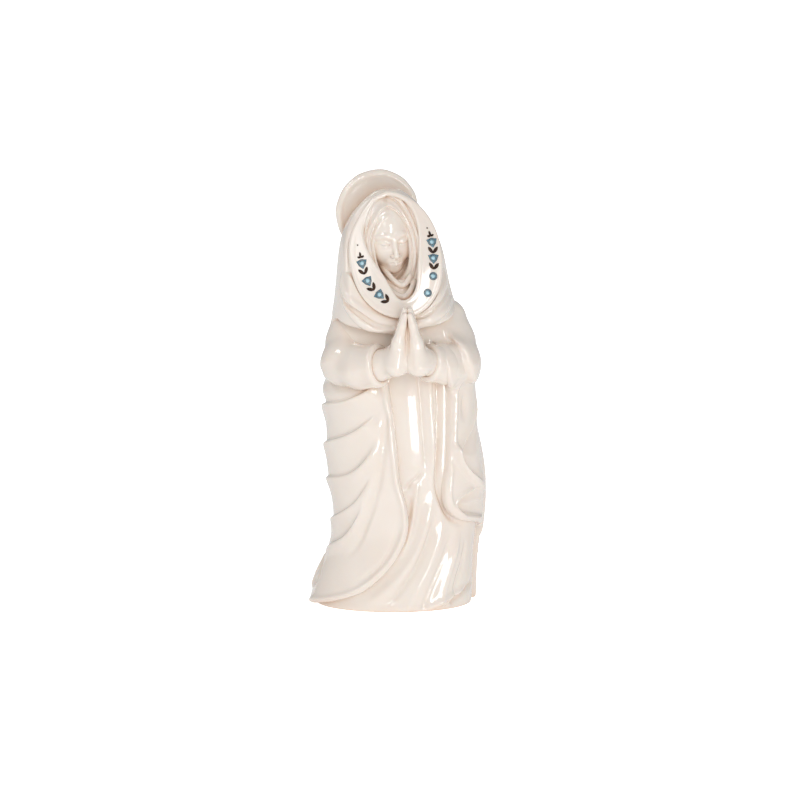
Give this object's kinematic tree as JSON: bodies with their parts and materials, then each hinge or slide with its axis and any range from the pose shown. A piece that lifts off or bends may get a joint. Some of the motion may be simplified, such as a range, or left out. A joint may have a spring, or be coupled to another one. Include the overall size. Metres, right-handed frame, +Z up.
{
  "type": "madonna statue",
  "caption": "Hollow glazed ceramic standing figure in mantle, hooded veil and halo, hands joined in prayer, veil border set with enamel dots and gilt leaves, on a flat foot ring.",
  "frame": {"origin": "on the resting plane, under the middle of the body, inside the foot ring", "axes": "+Z up; the figure faces -Y; +X is the figure's own left, the viewer's right"},
  "size_m": [0.0849, 0.07, 0.2106],
  "materials": {
    "ivory_glaze": "glossy ivory glaze, warmer where it pools in the folds",
    "biscuit": "unglazed fired body, matte and slightly rough",
    "blue_enamel": "glossy raised teal-blue enamel",
    "slate_enamel": "glossy slate-blue enamel line",
    "gilding": "burnished dark gold, brush-laid"
  },
  "bodies": {
    "root": {"gown_shell": "ivory_glaze", "mantle": "ivory_glaze", "right_sleeve": "ivory_glaze", "left_sleeve": "ivory_glaze", "right_hand": "ivory_glaze", "left_hand": "ivory_glaze", "head": "ivory_glaze", "collar": "ivory_glaze", "veil": "ivory_glaze", "veil_border": "ivory_glaze", "halo": "ivory_glaze", "foot_disc": "biscuit", "enamel_jewels": "blue_enamel", "jewel_rims": "slate_enamel", "gilt_leaves": "gilding", "gilt_tips": "gilding"}
  },
  "joints": []
}
